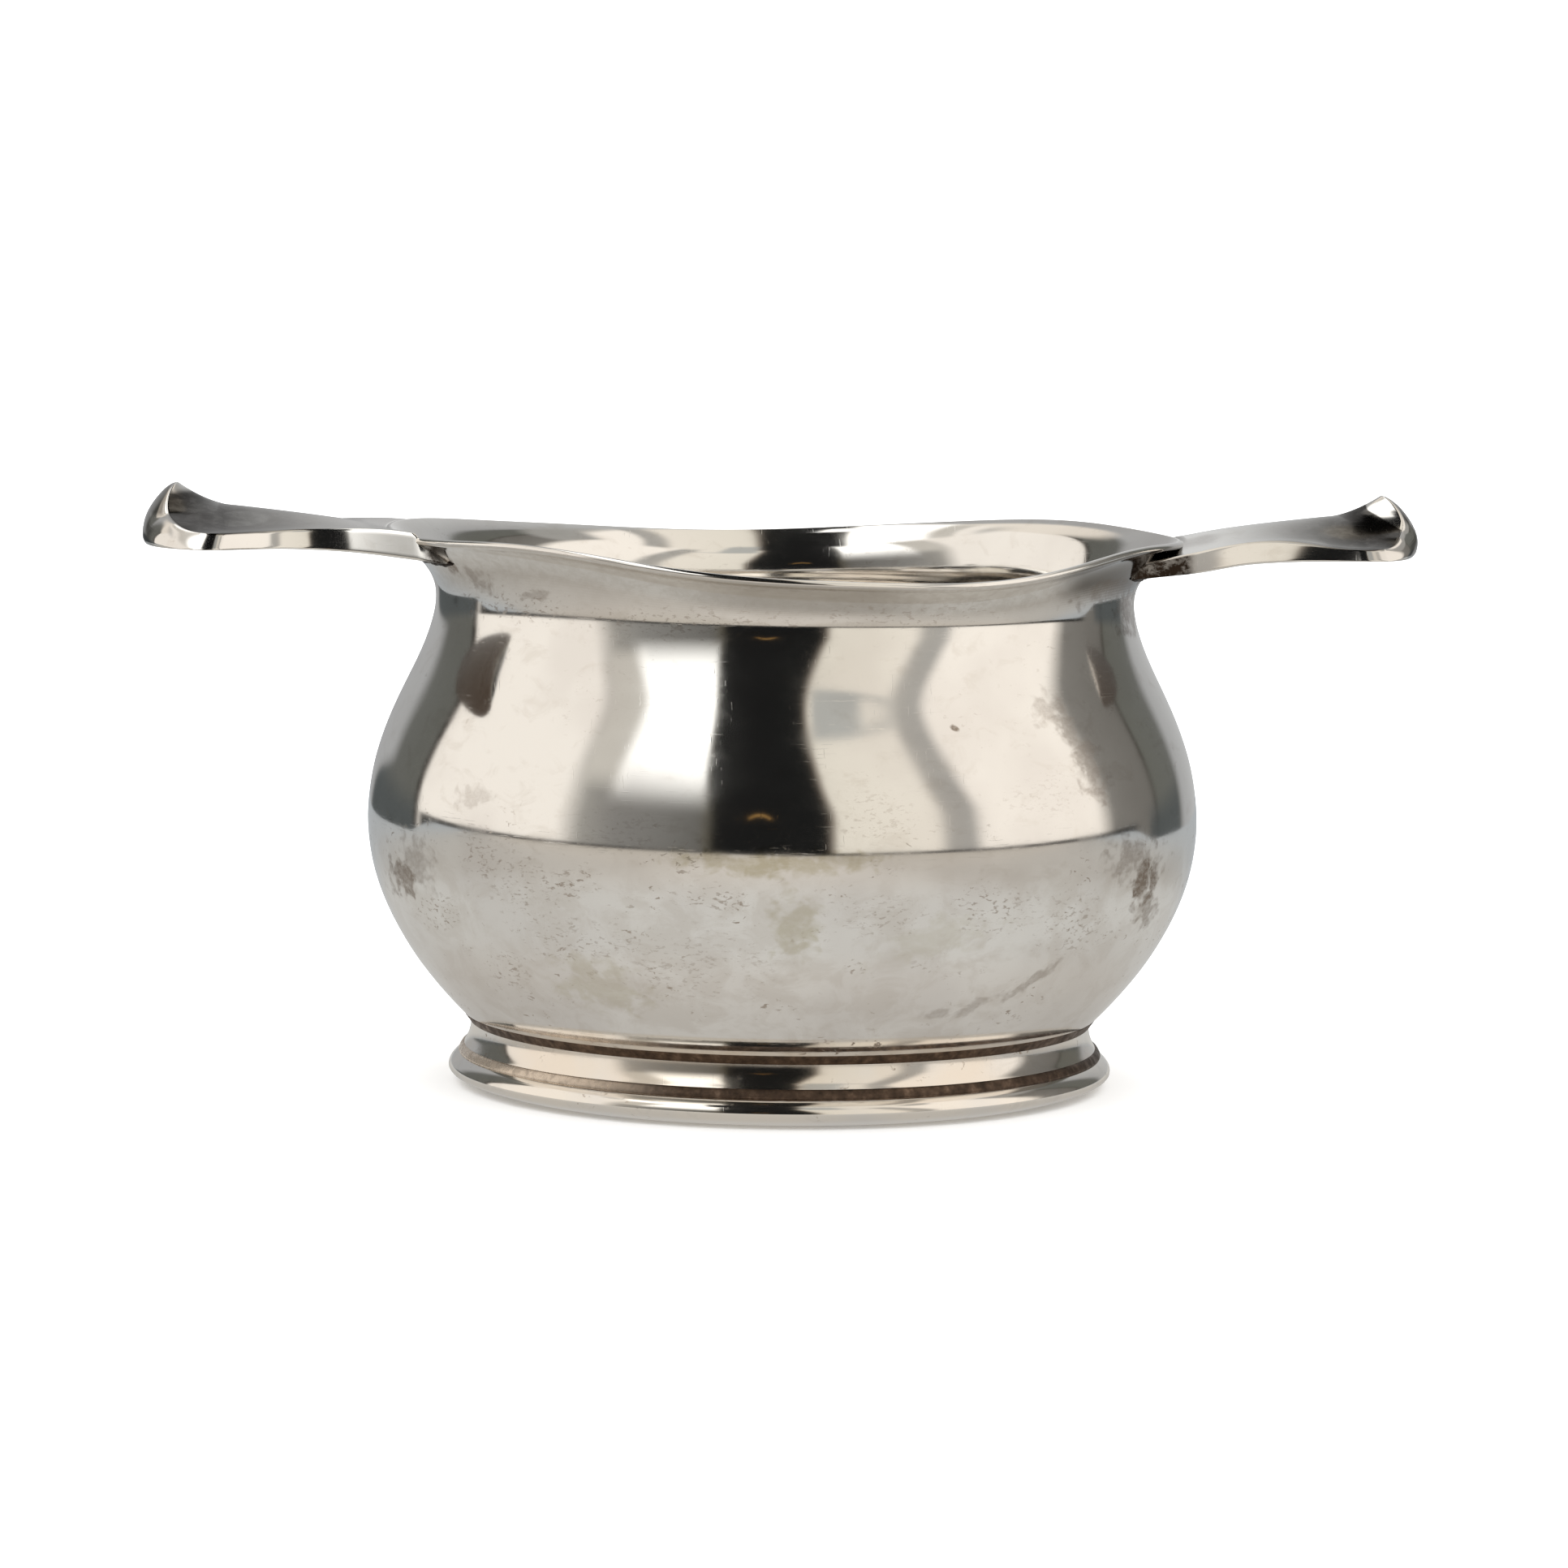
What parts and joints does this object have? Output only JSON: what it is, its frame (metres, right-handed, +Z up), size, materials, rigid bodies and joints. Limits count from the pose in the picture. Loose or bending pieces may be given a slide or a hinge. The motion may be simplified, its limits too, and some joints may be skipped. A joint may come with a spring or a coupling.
{
  "type": "porringer",
  "caption": "Polished silver porringer: round-bellied bowl with a waved flared lip, a turned-up lug handle on either side and a low moulded ring foot.",
  "frame": {"origin": "middle of the plane that the foot rests on, under the middle of the bowl", "axes": "+Z up; +X towards the handle that is on the right in the picture, -X towards the other handle; +Y to the back of the bowl"},
  "size_m": [0.1148, 0.075, 0.0542],
  "materials": {
    "silver_bowl": "polished silver, hand-worn, with faint tarnish specks and fine scratches",
    "silver_foot": "polished silver, slightly warm with tarnish in the grooves",
    "silver_handle": "polished silver, hand-worn, darker in the hollows",
    "tarnished_solder": "dull brown tarnished silver solder"
  },
  "bodies": {
    "root": {"bowl_body": "silver_bowl", "foot_collar": "silver_foot", "foot_base_ring": "silver_foot", "handle_left": "silver_handle", "handle_right": "silver_handle", "foot_solder_seam": "tarnished_solder", "base_ring_solder_seam": "tarnished_solder", "handle_left_solder": "tarnished_solder", "handle_right_solder": "tarnished_solder"}
  },
  "joints": []
}
